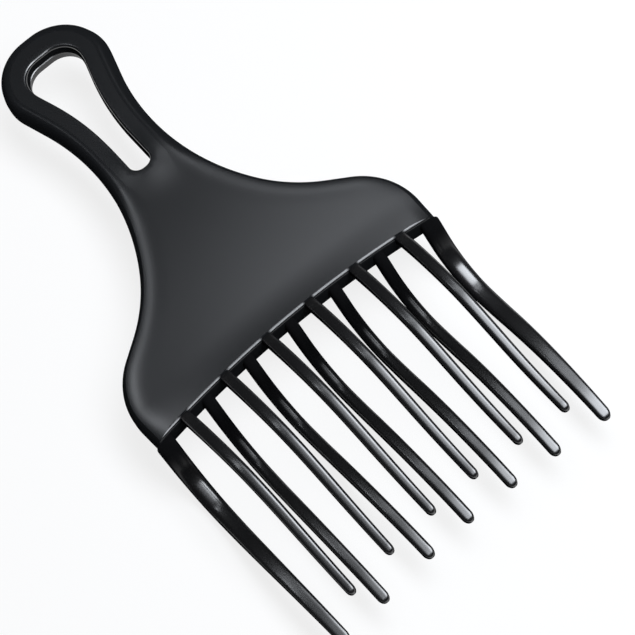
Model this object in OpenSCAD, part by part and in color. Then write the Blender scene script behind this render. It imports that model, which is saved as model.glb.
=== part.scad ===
// Double-row hair pick, one black moulding: a blade, a looped handle and two rows of teeth.
// X runs across the teeth, Y from the teeth towards the handle, and Z out of the front face.
// The origin is on the flat back face and the centre line, level with the blade's widest part.

/* [Body] */
// Thickness from the back face to the front face
body_t = 5.7; // [4.8:0.1:6.6]
// Width of the blade at its widest part
blade_w = 84.5; // [80:0.5:90]
// Radius of each shoulder of the blade
shoulder_r = 18.7; // [15:0.1:22]
// How far the corners of the toothed edge lie inside the widest part
corner_in = 0.4; // [0:0.1:1]
// Drop from the widest part to those corners
corner_drop = 7.8; // [6:0.1:9]
// How far the middle of the toothed edge lies above its corners
edge_rise = 3.5; // [2:0.1:5]

/* [Neck] */
// Distance between the sharp corners where the shoulders turn into the neck
flank_gap = 45.1; // [42:0.1:48]
// Height of those corners
flank_y = 23.8; // [22:0.1:26]
// Radius there
flank_r = 42; // [30:0.5:42]
// Distance between the sharp corners where the neck turns into the handle
neck_gap = 9.5; // [7:0.1:12]
// Height of those corners
neck_y = 54.3; // [52:0.1:57]
// Radius there
neck_r = 61; // [45:0.5:61]

/* [Handle loop] */
// Height of the handle's far end
handle_len = 103.8; // [100:0.2:110]
// Distance between the sharp corners at the loop's sides
loop_gap = 30.5; // [29:0.1:33]
// Height of those corners
loop_y = 90.3; // [88:0.1:92]
// Radius there
loop_r = 12.7; // [9:0.1:14]
// Distance between the sharp corners of the far end
crown_gap = 20.6; // [19.6:0.1:22]
// Radius there
crown_r = 13; // [10:0.1:13]

/* [Slot] */
// Height of the slot's lower end
slot_y = 52; // [51:0.1:54]
// Wall between the slot and the handle's far end
crown_wall = 8; // [7:0.1:10]
// Distance between the sharp corners of the slot's lower end
slot_low_gap = 5.9; // [5.6:0.1:7]
// Radius there
slot_low_r = 2.7; // [1.5:0.1:2.8]
// Distance between the corners where the slot starts to widen
slot_mid_gap = 5.9; // [5:0.1:7]
// Height of those corners
slot_mid_y = 72.7; // [70:0.1:75]
// Radius there
slot_mid_r = 71; // [50:0.5:71]
// Distance between the slot's upper side corners
slot_side_gap = 15; // [13:0.1:16]
// Height of those corners
slot_side_y = 87.8; // [86:0.1:89]
// Radius there
slot_side_r = 9.9; // [6:0.1:10]
// Distance between the sharp corners of the slot's upper end
slot_top_gap = 16.8; // [15:0.1:17.5]
// Radius there
slot_top_r = 5.9; // [4:0.1:6]

/* [Edges] */
// How far the front face's rim lies inside the outline
rim_in = 1.3; // [0.6:0.1:1.8]
// Width of the band along the rim in which the front face rises
crown_roll = 3; // [1.5:0.1:3.4]
// How far the front face rises over that band
crown_rise = 0.45; // [0.2:0.05:0.8]
// Radius of the back face's border
back_round = 1; // [0.4:0.1:1.4]
// Bevel of the toothed edge
edge_bevel = 0.5; // [0.2:0.05:0.8]
// Bevel around the slot
slot_bevel = 0.4; // [0.2:0.05:0.7]
// Draft of the slot's walls towards the middle of their height
slot_draft = 0.15; // [0.05:0.05:0.3]

/* [Front teeth] */
// Distance between neighbouring teeth of either row at the toothed edge
pitch = 13; // [12:0.1:13.4]
// The same halfway down the front row
front_mid_pitch = 12.6; // [12:0.1:13.4]
// The same at the tips of the front row
front_tip_pitch = 12.5; // [12:0.1:13.4]
// Length of a front tooth below the toothed edge
front_len = 59.9; // [50:0.2:70]
// How far inside the blade a front tooth's centre line starts
front_root_in = 1.6; // [1.2:0.1:2.4]
// How far below the front face that start lies
front_root_down = 1.8; // [1.7:0.1:2.4]
// How far the front row bows forward from that start
front_bow = 7.9; // [4:0.1:10]
// Width of a front tooth at its root
front_root_w = 3.1; // [2.6:0.1:3.8]
// Width of a front tooth halfway down
front_mid_w = 2.85; // [2.4:0.05:3.6]
// Width of a front tooth above its tip
front_tip_w = 2.3; // [2:0.1:3]
// Depth of a front tooth at its root
front_root_d = 2.7; // [2.2:0.1:3]
// Depth of a front tooth halfway down
front_mid_d = 3.1; // [2.4:0.1:3.8]
// Depth of a front tooth above its tip
front_tip_d = 2.7; // [2.2:0.1:3.2]
// Largest sideways lean of a front tooth's tip
front_lean = 0.5; // [0:0.1:1]

/* [Back teeth] */
// Distance between neighbouring teeth halfway down the back row
back_mid_pitch = 12.95; // [12:0.05:13.4]
// The same at the tips of the back row
back_tip_pitch = 12.6; // [12:0.1:13.4]
// Length of an inner back tooth below the toothed edge
back_len = 63.5; // [52:0.2:74]
// Length of an outer back tooth below the toothed edge
outer_len = 62.9; // [52:0.2:74]
// How far inside the blade a back tooth's centre line starts
back_root_in = 3; // [2.6:0.1:3.4]
// How far above the front face that start lies
back_root_up = 0.6; // [0.2:0.1:1]
// How far the back row bows backward from that start
back_bow = 16.4; // [12:0.1:18]
// Width of an inner back tooth at its root
back_root_w = 3.3; // [2.6:0.1:3.8]
// Width of an inner back tooth halfway down
back_mid_w = 3; // [2.4:0.1:3.6]
// Width of an inner back tooth above its tip
back_tip_w = 2.8; // [2.2:0.1:3.4]
// Depth of an inner back tooth at its root
back_root_d = 3.1; // [2.6:0.1:3.6]
// Depth of a back tooth halfway down
back_mid_d = 3.4; // [2.6:0.1:4.2]
// Depth of a back tooth above its tip
back_tip_d = 2.5; // [2.2:0.1:3.2]
// Width of an outer back tooth at its root
outer_root_w = 5.1; // [4.4:0.1:5.6]
// Width of an outer back tooth halfway down
outer_mid_w = 4; // [3:0.1:4.4]
// Width of an outer back tooth above its tip
outer_tip_w = 3; // [2.4:0.1:3.6]
// How far an outer back tooth's side stands out past the blade's corner
outer_proud = 0.7; // [0.2:0.1:1]
// How far an outer back tooth's tip lies inside its root
outer_draw = 1.5; // [0.5:0.1:3]
// Largest sideways lean of a back tooth's tip
back_lean = 1; // [0:0.1:1.2]

/* [Hidden] */
front_count = 6;
back_count = 7;

body_black = [0.1, 0.1, 0.11];
tooth_black = [0.06, 0.06, 0.065];

// How far a cutter runs past what it cuts
overrun = 2;
// Height at which the handle loop takes over from the blade
split_y = slot_y - 2 * overrun;

// Shape tables: each row is [share of the length, share of the size]
front_bow_shares = [
    [0, 0], [0.1, 0.39], [0.2, 0.69], [0.3, 0.9], [0.4, 1], [0.5, 0.94],
    [0.6, 0.77], [0.7, 0.57], [0.8, 0.42], [0.9, 0.34], [1, 0.34]
];
back_bow_shares = [
    [0, 0], [0.05, 0.255], [0.1, 0.625], [0.15, 0.84], [0.2, 0.95], [0.25, 1], [0.3, 0.995],
    [0.4, 0.91], [0.5, 0.79], [0.6, 0.69], [0.7, 0.62], [0.8, 0.58], [0.9, 0.57], [1, 0.595]
];
outer_draw_shares = [[0, 0], [0.5, 0.2], [1, 1]];
// Lean of each tooth's tip towards +X, from the left tooth to the right one
front_lean_shares = [1, 0.2, 0.5, 0.2, 0.2, 0.4];
back_lean_shares = [0.4, -0.5, 1, 0.25, 0.2, -0.3, 0.1];
// Part of a tooth's narrower side that each of its corners rounds off
tooth_round_share = 0.33;
// Length of a tooth's rounded tip as a share of its width there
tip_share = 0.7;

// Steps in which the body's wall and the band along its rim are rounded
level_shares = [0, 1 / 3, 2 / 3, 1];
// Turn of a tooth's rounded tip, short of a point
tip_turn = 80;

body_points = 46;
slot_points = 26;
tooth_rings = 28;
tip_rings = 4;
arc_step = 4;

// The toothed edge is a shallow arc through its middle and the two corners
corner = [blade_w / 2 - corner_in, -corner_drop];
edge_y = edge_rise - corner_drop;
edge_r = (pow(corner.x, 2) + pow(edge_rise, 2)) / (2 * edge_rise);
shoulder_c = [blade_w / 2 - shoulder_r, 0];
flank = [flank_gap / 2, flank_y, flank_r];
rim_z = body_t - crown_rise;

function xy(p) = [p.x, p.y];
function unit(v) = v / norm(v);
function circle_point(c, r, a) = c + r * [cos(a), sin(a)];
function edge_at(x) = edge_y - edge_r + sqrt(pow(edge_r, 2) - pow(x, 2));

// Points along an arc about c from angle a by the turn
function arc(c, r, a, turn) =
    let (n = max(1, ceil(abs(turn) / arc_step)))
    [for (k = [0 : n]) circle_point(c, r, a + turn * k / n)];

// Half the angle between the two sides that meet at corner i of a path of [x, y, radius]
function half_angle(path, i) =
    acos(unit(xy(path[i - 1]) - xy(path[i])) * unit(xy(path[i + 1]) - xy(path[i]))) / 2;

// Length of side that corner i's arc takes up
function reach(path, i) =
    i == 0 || i == len(path) - 1 ? 0 : path[i].z / tan(half_angle(path, i));

// Part of that length that side i leaves free, no more than 1
function room(path, i) =
    min(1, norm(xy(path[i + 1]) - xy(path[i])) / (reach(path, i) + reach(path, i + 1)));

// Rounded corner i, with its radius limited by the two sides
function corner_arc(path, i) =
    let (
        b = xy(path[i]),
        u = unit(xy(path[i - 1]) - b),
        v = unit(xy(path[i + 1]) - b),
        half = half_angle(path, i),
        r = path[i].z * min(room(path, i - 1), room(path, i)),
        c = b + unit(u + v) * r / sin(half),
        start = b + u * r / tan(half) - c,
        turn = sign(cross(v, u)) * (180 - 2 * half)
    )
    arc(c, r, atan2(start.y, start.x), turn);

// The arcs of all the corners between a path's two end points
function rounded(path) = [for (i = [1 : len(path) - 2]) each corner_arc(path, i)];

// Running length at each point of a line
function runs(line) =
    [
        for (i = 0, s = 0; i < len(line); i = i + 1, s = i < len(line) ? s + norm(line[i] - line[i - 1]) : s)
            s
    ];

// n points at even steps along a line
function spaced(line, n) =
    let (
        s = runs(line),
        end = s[len(s) - 1],
        xs = [for (i = [0 : len(line) - 1]) [s[i], line[i].x]],
        ys = [for (i = [0 : len(line) - 1]) [s[i], line[i].y]]
    )
    [for (k = [0 : n - 1]) [lookup(end * k / (n - 1), xs), lookup(end * k / (n - 1), ys)]];

// Unit vector to the left of a line at its point i
function left_of(line, i) =
    let (t = unit(line[min(i + 1, len(line) - 1)] - line[max(i - 1, 0)]))
    [-t.y, t.x];

// Slope of a table at row i, and a smooth curve through its rows
function table_slope(rows, i) =
    let (a = rows[max(i - 1, 0)], b = rows[min(i + 1, len(rows) - 1)])
    (b[1] - a[1]) / (b[0] - a[0]);
function smooth(rows, t, i = 0) =
    i < len(rows) - 2 && t > rows[i + 1][0]
        ? smooth(rows, t, i + 1)
        : let (a = rows[i], b = rows[i + 1], w = b[0] - a[0], s = (t - a[0]) / w)
            a[1] * (1 - 3 * pow(s, 2) + 2 * pow(s, 3))
            + b[1] * (3 * pow(s, 2) - 2 * pow(s, 3))
            + w * table_slope(rows, i) * (s - 2 * pow(s, 2) + pow(s, 3))
            + w * table_slope(rows, i + 1) * (pow(s, 3) - pow(s, 2));

// Right half of the outline, from below the corner up to the flat of the far end
function half_outline() =
    let (
        to_corner = corner - shoulder_c,
        to_flank = xy(flank) - shoulder_c,
        low = atan2(to_corner.y, to_corner.x) + acos(shoulder_r / norm(to_corner)),
        high = atan2(to_flank.y, to_flank.x) - acos(shoulder_r / norm(to_flank)),
        shoulder = arc(shoulder_c, shoulder_r, low, high - low),
        start = corner + unit(corner - shoulder[0]) * overrun,
        last = shoulder[len(shoulder) - 1]
    )
    [
        start,
        each shoulder,
        each rounded([
            [last.x, last.y, 0],
            flank,
            [neck_gap / 2, neck_y, neck_r],
            [loop_gap / 2, loop_y, loop_r],
            [crown_gap / 2, handle_len, crown_r],
            [0, handle_len, 0]
        ])
    ];

// Right half of the slot, from its lower end to its upper end
function half_slot() =
    let (top = handle_len - crown_wall)
    rounded([
        [0, slot_y, 0],
        [slot_low_gap / 2, slot_y, slot_low_r],
        [slot_mid_gap / 2, slot_mid_y, slot_mid_r],
        [slot_side_gap / 2, slot_side_y, slot_side_r],
        [slot_top_gap / 2, top, slot_top_r],
        [0, top, 0]
    ]);

// Levels of the body from back to front, each [distance inside the outline, height]
function body_levels() =
    let (
        rise = rim_z - body_t / 2,
        lean = 2 * atan(rim_in / rise),
        wall_r = rise / sin(lean)
    )
    [
        for (a = [0, 45, 90]) back_round * [1 - sin(a), 1 - cos(a)],
        for (u = level_shares) [0, body_t / 2] + wall_r * [1 - cos(lean * u), sin(lean * u)],
        for (u = level_shares)
            if (u > 0) [rim_in + crown_roll * u, body_t - crown_rise * pow(1 - u, 2)]
    ];

// Levels of the slot's cutter from back to front, each [distance inside the slot, height]
function slot_levels() = [
    [-slot_bevel - overrun, -overrun],
    [0, slot_bevel],
    [slot_draft, body_t / 2],
    [0, body_t - slot_bevel],
    [-slot_bevel - overrun, body_t + overrun]
];

// Solid that is symmetric about x = 0: the right half line moved to its left by each level's
// distance, with flat faces at the first and the last level
module mirrored_solid(half, levels) {
    n = len(half);
    m = 2 * n;
    right = function (level) [
        for (i = [0 : n - 1])
            let (p = half[i] + left_of(half, i) * level[0])
            [p.x, p.y, level[1]]
    ];
    rings = [for (level = levels) let (r = right(level)) [
        each r,
        for (i = [n - 1 : -1 : 0]) [-r[i].x, r[i].y, r[i].z]
    ]];
    top = (len(levels) - 1) * m;
    polyhedron(
        points = [for (ring = rings) each ring],
        faces = [
            for (i = [0 : n - 2]) [i, i + 1, m - 2 - i, m - 1 - i],
            for (i = [0 : n - 2]) [top + m - 1 - i, top + m - 2 - i, top + i + 1, top + i],
            for (k = [0 : len(levels) - 2], i = [0 : m - 1])
                each quad(k * m + i, k * m + (i + 1) % m, m)
        ]
    );
}

// Two triangles between neighbouring points a and b of a ring and the same two m points on
function quad(a, b, m) = [[a, a + m, b + m], [a, b + m, b]];

// Rounded rectangle of width w and depth d
function tooth_section(w, d) =
    let (r = tooth_round_share * min(w, d))
    [
        for (q = [0 : 3], a = [0, 45, 90])
            let (c = [(w / 2 - r) * sign(cos(90 * q + 45)), (d / 2 - r) * sign(sin(90 * q + 45))])
            circle_point(c, r, 90 * q + a)
    ];

// Tooth swept along a line of points, with one [width, depth] for each point
module tooth(line, sizes) {
    n = len(line);
    m = len(tooth_section(1, 1));
    rings = [
        for (k = [0 : n - 1])
            let (
                t = unit(line[min(k + 1, n - 1)] - line[max(k - 1, 0)]),
                across = unit([1, 0, 0] - t * t.x),
                deep = cross(t, across)
            )
            [for (p = tooth_section(sizes[k].x, sizes[k].y)) line[k] + across * p.x + deep * p.y]
    ];
    polyhedron(
        points = [for (ring = rings) each ring],
        faces = [
            [for (i = [0 : m - 1]) i],
            [for (i = [m - 1 : -1 : 0]) (n - 1) * m + i],
            for (k = [0 : n - 2], i = [0 : m - 1]) each quad(k * m + i, k * m + (i + 1) % m, m)
        ]
    );
}

// Shares of a tooth's length at which its rings stand, the last of them around the tip
function ring_shares(tip) = [
    for (k = [0 : tooth_rings]) (1 - tip) * k / tooth_rings,
    for (k = [1 : tip_rings]) 1 - tip + tip * sin(tip_turn * k / tip_rings)
];

// How much of its section a tooth keeps at a share of its length
function tip_scale(v, tip) = v <= 1 - tip ? 1 : sqrt(1 - pow((v - 1 + tip) / tip, 2));

// Size at a share v of a tooth's length, from the sizes at its root, halfway down and at its tip
function along(root, mid, tip, v) = smooth([[0, root], [0.5, mid], [1, tip]], v);

// Sideways place of tooth i of the front row, and of an inner and an outer tooth of the back row
function front_x(i, v) =
    (i - (front_count + 1) / 2) * along(pitch, front_mid_pitch, front_tip_pitch, v)
    + front_lean * front_lean_shares[i - 1] * v;

function inner_x(i, v) =
    (i - (back_count + 1) / 2) * along(pitch, back_mid_pitch, back_tip_pitch, v);

function outer_x(i, v) =
    (i == 1 ? -1 : 1)
    * (corner.x + outer_proud - outer_root_w / 2 - outer_draw * smooth(outer_draw_shares, v));

function is_outer(i) = i == 1 || i == back_count;

function back_x(i, v) =
    (is_outer(i) ? outer_x(i, v) : inner_x(i, v)) + back_lean * back_lean_shares[i - 1] * v;

module front_tooth(i) {
    start_y = edge_at(front_x(i, 0)) + front_root_in;
    run = front_len + front_root_in;
    tip = tip_share * front_tip_w / run;
    shares = ring_shares(tip);
    color(tooth_black)
        difference() {
            tooth(
                [for (v = shares) [
                    front_x(i, v),
                    start_y - run * v,
                    body_t - front_root_down + front_bow * smooth(front_bow_shares, v)
                ]],
                [for (v = shares) tip_scale(v, tip) * [
                    along(front_root_w, front_mid_w, front_tip_w, v),
                    along(front_root_d, front_mid_d, front_tip_d, v)
                ]]
            );
            edge_strip(front_x(i, 0));
        }
}

module back_tooth(i) {
    start_y = edge_at(back_x(i, 0)) + back_root_in;
    run = (is_outer(i) ? outer_len : back_len) + back_root_in;
    root_w = is_outer(i) ? outer_root_w : back_root_w;
    mid_w = is_outer(i) ? outer_mid_w : back_mid_w;
    tip_w = is_outer(i) ? outer_tip_w : back_tip_w;
    tip = tip_share * tip_w / run;
    shares = ring_shares(tip);
    color(tooth_black)
        intersection() {
            tooth(
                [for (v = shares) [
                    back_x(i, v),
                    start_y - run * v,
                    body_t + back_root_up - back_bow * smooth(back_bow_shares, v)
                ]],
                [for (v = shares) tip_scale(v, tip) * [
                    along(root_w, mid_w, tip_w, v),
                    along(back_root_d, back_mid_d, back_tip_d, v)
                ]]
            );
            translate([0, edge_y - edge_r, -2 * back_bow])
                cylinder(h = 4 * back_bow, r = edge_r, $fn = 360);
        }
}

// Everything below the toothed edge, wider at both faces by the edge's bevel
module edge_cut() {
    translate([0, edge_y - edge_r, 0])
        rotate_extrude($fn = 360)
            polygon([
                [0, -overrun],
                [edge_r + edge_bevel + overrun, -overrun],
                [edge_r, edge_bevel],
                [edge_r, body_t - edge_bevel],
                [edge_r + edge_bevel + overrun, body_t + overrun],
                [0, body_t + overrun]
            ]);
}

// The blade's own material around a front tooth's root at x
module edge_strip(x) {
    difference() {
        translate([x - pitch / 2, edge_at(x) - pitch / 2, 0])
            cube([pitch, pitch, body_t]);
        edge_cut();
    }
}

module body() {
    mirrored_solid(spaced(half_outline(), body_points), body_levels());
}

module slot_cut() {
    mirrored_solid(spaced(half_slot(), slot_points), slot_levels());
}

// Block over the whole width between two heights
module band(low, high) {
    translate([-blade_w, low, -overrun])
        cube([2 * blade_w, high - low, body_t + 2 * overrun]);
}

module blade() {
    color(body_black)
        difference() {
            body();
            band(split_y, handle_len + overrun);
            edge_cut();
        }
}

module handle_loop() {
    color(body_black)
        difference() {
            body();
            band(-corner_drop - 2 * overrun, split_y);
            slot_cut();
        }
}

blade();
handle_loop();
for (i = [1 : front_count])
    front_tooth(i);
for (i = [1 : back_count])
    back_tooth(i);
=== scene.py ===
"""Dresses a black double-row hair pick: a satin moulded body and two rows of glossy bowed teeth.

Sizes are in millimetres in the pick's own frame: X runs across the teeth, Y from the teeth towards
the handle, and Z out of the front face. Meshes are written in metres.
"""

from __future__ import annotations

import logging
import math
from collections.abc import Callable, Iterable, Sequence
from dataclasses import dataclass, replace
from enum import Enum

import bmesh
import bpy
import numpy as np
from mathutils import Matrix, Vector
from mathutils.geometry import delaunay_2d_cdt


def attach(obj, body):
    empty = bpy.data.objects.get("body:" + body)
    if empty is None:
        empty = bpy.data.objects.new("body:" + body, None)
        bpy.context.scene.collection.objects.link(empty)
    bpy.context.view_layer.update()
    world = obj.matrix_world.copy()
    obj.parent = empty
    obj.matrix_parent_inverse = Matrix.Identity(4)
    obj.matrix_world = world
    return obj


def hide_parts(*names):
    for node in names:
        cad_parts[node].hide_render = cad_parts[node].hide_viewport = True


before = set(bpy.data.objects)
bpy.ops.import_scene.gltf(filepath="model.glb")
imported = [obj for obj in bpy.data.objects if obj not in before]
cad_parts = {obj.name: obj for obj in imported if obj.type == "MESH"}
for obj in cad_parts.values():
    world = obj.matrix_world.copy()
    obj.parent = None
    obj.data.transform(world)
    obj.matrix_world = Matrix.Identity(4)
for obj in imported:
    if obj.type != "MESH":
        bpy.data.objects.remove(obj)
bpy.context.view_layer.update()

MM = 0.001
ROOT_BODY = "root"
POLISH = "polish"
TINY_MM = 1e-6
WHITE = (1.0, 1.0, 1.0, 1.0)
# Places of the Mix node's colour sockets, whose names its other sockets share.
MIX_DARK, MIX_LIGHT, MIX_OUT = 6, 7, 2
log = logging.getLogger("hair_pick")

# A table's rows, each (place, value).
Rows = Sequence[tuple[float, float]]
Colour = tuple[float, float, float]
Sockets = dict[str | int, object] | None


class Slot(Enum):
    """Names for the body's and the teeth's material slots, which this script doesn't assign."""

    BODY = "body_plastic"
    TEETH = "tooth_plastic"


class Value:
    """A node's output socket that takes part in Python arithmetic."""

    def __init__(self, tree: Tree, socket: bpy.types.NodeSocket) -> None:
        """Keeps the socket and the tree that its further nodes go into."""
        self.tree = tree
        self.socket = socket

    def math(self, operation: str, *others: Value | float) -> Value:
        """Adds one Math node with this value as its first input."""
        return self.tree.math(operation, self, *others)

    def __add__(self, other: Value | float) -> Value:
        """Adds."""
        return self.math("ADD", other)

    def __sub__(self, other: Value | float) -> Value:
        """Subtracts."""
        return self.math("SUBTRACT", other)

    def __rsub__(self, other: float) -> Value:
        """Subtracts this value from a number."""
        return self.tree.math("SUBTRACT", other, self)

    def __mul__(self, other: Value | float) -> Value:
        """Multiplies."""
        return self.math("MULTIPLY", other)

    def __truediv__(self, other: Value | float) -> Value:
        """Divides."""
        return self.math("DIVIDE", other)

    def __pow__(self, other: float) -> Value:
        """Raises to a power."""
        return self.math("POWER", other)

    __radd__ = __add__
    __rmul__ = __mul__


class Tree:
    """Adds nodes to a shader or a geometry node tree."""

    def __init__(self, tree: bpy.types.NodeTree) -> None:
        """Keeps the tree."""
        self.tree = tree

    def node(self, kind: str, sockets: Sockets = None, **settings: object) -> bpy.types.Node:
        """Adds one node.

        Args:
            kind: The node's type.
            sockets: Values or links for its inputs, by name or place.
            settings: Its properties, set before its sockets.

        Returns:
            The node.
        """
        made = self.tree.nodes.new(kind)
        for name, setting in settings.items():
            setattr(made, name, setting)
        for key, content in (sockets or {}).items():
            if isinstance(content, Value):
                self.tree.links.new(content.socket, made.inputs[key])
            else:
                made.inputs[key].default_value = content
        return made

    def out(
        self, kind: str, sockets: Sockets = None, output: str | int = 0, **settings: object
    ) -> Value:
        """Adds one node and returns its output of this name or place."""
        return Value(self, self.node(kind, sockets, **settings).outputs[output])

    def math(self, operation: str, *inputs: Value | float) -> Value:
        """Adds a Math node and returns its output."""
        return self.out("ShaderNodeMath", dict(enumerate(inputs)), operation=operation)

    def vector(self, operation: str, *inputs: Value | Sequence[float]) -> Value:
        """Adds a Vector Math node on vectors and returns its vector."""
        return self.out("ShaderNodeVectorMath", dict(enumerate(inputs)), operation=operation)

    def scaled(self, vector: Value, factor: Value | float) -> Value:
        """Scales a vector by a number."""
        sockets = {"Vector": vector, "Scale": factor}
        return self.out("ShaderNodeVectorMath", sockets, operation="SCALE")

    def step(self, value: Value, start: Value | float, end: Value | float) -> Value:
        """Rises smoothly from 0 to 1 between two values."""
        sockets = {"Value": value, "From Min": start, "From Max": end}
        return self.out("ShaderNodeMapRange", sockets, interpolation_type="SMOOTHSTEP")


def shader_tree(owner: bpy.types.ID) -> Tree:
    """Empties the shader of a material, a lamp or the world.

    Args:
        owner: What the shader belongs to.

    Returns:
        Its empty tree.
    """
    owner.use_nodes = True
    owner.node_tree.nodes.clear()
    return Tree(owner.node_tree)


def linked(name: str, data: bpy.types.ID) -> bpy.types.Object:
    """Puts an object in the scene.

    Args:
        name: The object's name.
        data: Its mesh, lamp or camera.

    Returns:
        The object.
    """
    made = bpy.data.objects.new(name, data)
    bpy.context.scene.collection.objects.link(made)
    return made


def smooth(rows: Rows, share: float) -> float:
    """Follows a table with a smooth curve.

    Args:
        rows: The table's rows, each (share, value).
        share: Where to read it.

    Returns:
        The value there.
    """
    # A cubic joins the two nearest rows, with the slopes that their neighbours give.
    last = len(rows) - 1
    i = max(0, min(last - 1, sum(share > row[0] for row in rows[1:])))
    slope = [
        (rows[min(k + 1, last)][1] - rows[max(k - 1, 0)][1])
        / (rows[min(k + 1, last)][0] - rows[max(k - 1, 0)][0])
        for k in (i, i + 1)
    ]
    width = rows[i + 1][0] - rows[i][0]
    s = (share - rows[i][0]) / width
    return (
        rows[i][1] * (1 - 3 * s**2 + 2 * s**3)
        + rows[i + 1][1] * (3 * s**2 - 2 * s**3)
        + width * slope[0] * (s - 2 * s**2 + s**3)
        + width * slope[1] * (s**3 - s**2)
    )


@dataclass(frozen=True)
class Corner:
    """A sharp corner of an outline, and the radius that rounds it."""

    x: float
    y: float
    radius: float = 0.0

    @property
    def place(self) -> np.ndarray:
        """The corner's point."""
        return np.array([self.x, self.y])


def arc(centre: np.ndarray, radius: float, start: float, turn: float) -> list[np.ndarray]:
    """Walks along an arc.

    Args:
        centre: The arc's centre.
        radius: Its radius.
        start: The angle that it starts at, in radians.
        turn: The angle that it turns through.

    Returns:
        Its points, about one degree apart.
    """
    steps = max(2, math.ceil(abs(math.degrees(turn))))
    angles = start + turn * np.arange(steps + 1) / steps
    return [centre + radius * np.array([math.cos(a), math.sin(a)]) for a in angles]


def rounded(corners: Sequence[Corner]) -> list[np.ndarray]:
    """Rounds the corners between a path's two ends.

    Args:
        corners: The path's corners. The first and the last are its ends.

    Returns:
        The points of the path's arcs.
    """

    def half_angle(i: int) -> float:
        """Measures half the angle between the sides that meet at a corner.

        Args:
            i: The corner's number.

        Returns:
            The angle, in radians.
        """
        sides = [corners[i + k].place - corners[i].place for k in (-1, 1)]
        cosine = np.dot(*sides) / (np.linalg.norm(sides[0]) * np.linalg.norm(sides[1]))
        return math.acos(cosine) / 2

    def reach(i: int) -> float:
        """Length of side that corner i's arc takes up."""
        return corners[i].radius / math.tan(half_angle(i)) if corners[i].radius else 0.0

    def room(i: int) -> float:
        """Share of the wanted radii for which side i has room."""
        length = np.linalg.norm(corners[i + 1].place - corners[i].place)
        return min(1.0, length / max(reach(i) + reach(i + 1), TINY_MM))

    points: list[np.ndarray] = []
    for i in range(1, len(corners) - 1):
        here = corners[i].place
        before, after = (corners[i + k].place - here for k in (-1, 1))
        before, after = before / np.linalg.norm(before), after / np.linalg.norm(after)
        half = half_angle(i)
        radius = corners[i].radius * min(room(i - 1), room(i))
        middle = before + after
        centre = here + middle / np.linalg.norm(middle) * radius / math.sin(half)
        start = here + before * radius / math.tan(half) - centre
        turning = np.sign(after[0] * before[1] - after[1] * before[0])
        points += arc(centre, radius, math.atan2(start[1], start[0]), turning * (math.pi - 2 * half))
    return points


class Outline:
    """One half of a symmetrical outline, which can be moved sideways to its left."""

    def __init__(self, points: Sequence[np.ndarray], spacing: float = 0.25) -> None:
        """Spaces the points evenly and works out the direction to their left.

        Args:
            points: The half outline's points in order.
            spacing: The step between the points that it keeps.
        """
        line = np.array(points)
        steps = np.linalg.norm(np.diff(line, axis=0), axis=1)
        line = line[np.concatenate([[True], steps > TINY_MM])]
        run = np.concatenate([[0.0], np.cumsum(np.linalg.norm(np.diff(line, axis=0), axis=1))])
        self.run = np.linspace(0.0, run[-1], math.ceil(run[-1] / spacing) + 1)
        self.line = np.stack([np.interp(self.run, run, line[:, k]) for k in (0, 1)], axis=1)
        along = np.gradient(self.line, axis=0)
        along /= np.linalg.norm(along, axis=1)[:, None]
        self.left = np.stack([-along[:, 1], along[:, 0]], axis=1)

    def moved(self, inset: float | np.ndarray) -> np.ndarray:
        """The outline's points, moved to their left by one distance or by one each."""
        return self.line + self.left * np.reshape(inset, (-1, 1))

    def crossing(
        self, inset: float | np.ndarray, height: Callable[[np.ndarray], np.ndarray | float]
    ) -> float:
        """Finds where the moved outline first rises past a line.

        Args:
            inset: How far the outline is moved to its left, once or for each point.
            height: The line's Y for any X.

        Returns:
            The running length there.
        """
        line = self.moved(inset)
        above = line[:, 1] - height(line[:, 0])
        i = int(np.argmax(above > 0))
        if i == 0:
            return float(self.run[0])
        return float(np.interp(0.0, above[i - 1 : i + 1], self.run[i - 1 : i + 1]))

    def stations(
        self, inset: float | np.ndarray, start: float, end: float, count: int
    ) -> np.ndarray:
        """Points at even steps between two running lengths of the moved outline."""
        line, at = self.moved(inset), np.linspace(start, end, count)
        return np.stack([np.interp(at, self.run, line[:, k]) for k in (0, 1)], axis=1)


def mirrored(points: np.ndarray) -> np.ndarray:
    """The same points on the other side of the centre line, in the reverse order."""
    return points[::-1] * np.array([-1.0, 1.0])


def inside(points: np.ndarray, loops: Sequence[np.ndarray]) -> np.ndarray:
    """Tells which points lie inside a loop and outside its holes.

    Args:
        points: The points to test.
        loops: The outer loop and its holes.

    Returns:
        One truth value for each point.
    """
    result = np.zeros(len(points), bool)
    for a, b in (side for loop in loops for side in zip(loop, np.roll(loop, -1, axis=0))):
        if a[1] != b[1]:
            crosses = (a[1] > points[:, 1]) != (b[1] > points[:, 1])
            x = a[0] + (points[:, 1] - a[1]) * (b[0] - a[0]) / (b[1] - a[1])
            result ^= crosses & (points[:, 0] < x)
    return result


def finish_mesh(bm: bmesh.types.BMesh, mesh: bpy.types.Mesh, sharp_deg: float) -> None:
    """Turns a closed shape's faces outwards and writes it to a smooth mesh.

    Args:
        bm: The shape, which is used up.
        mesh: The mesh that it goes into.
        sharp_deg: The angle past which an edge is sharp.
    """
    bmesh.ops.recalc_face_normals(bm, faces=bm.faces)
    bm.to_mesh(mesh)
    bm.free()
    mesh.shade_smooth()
    mesh.set_sharp_from_angle(angle=math.radians(sharp_deg))


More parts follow.
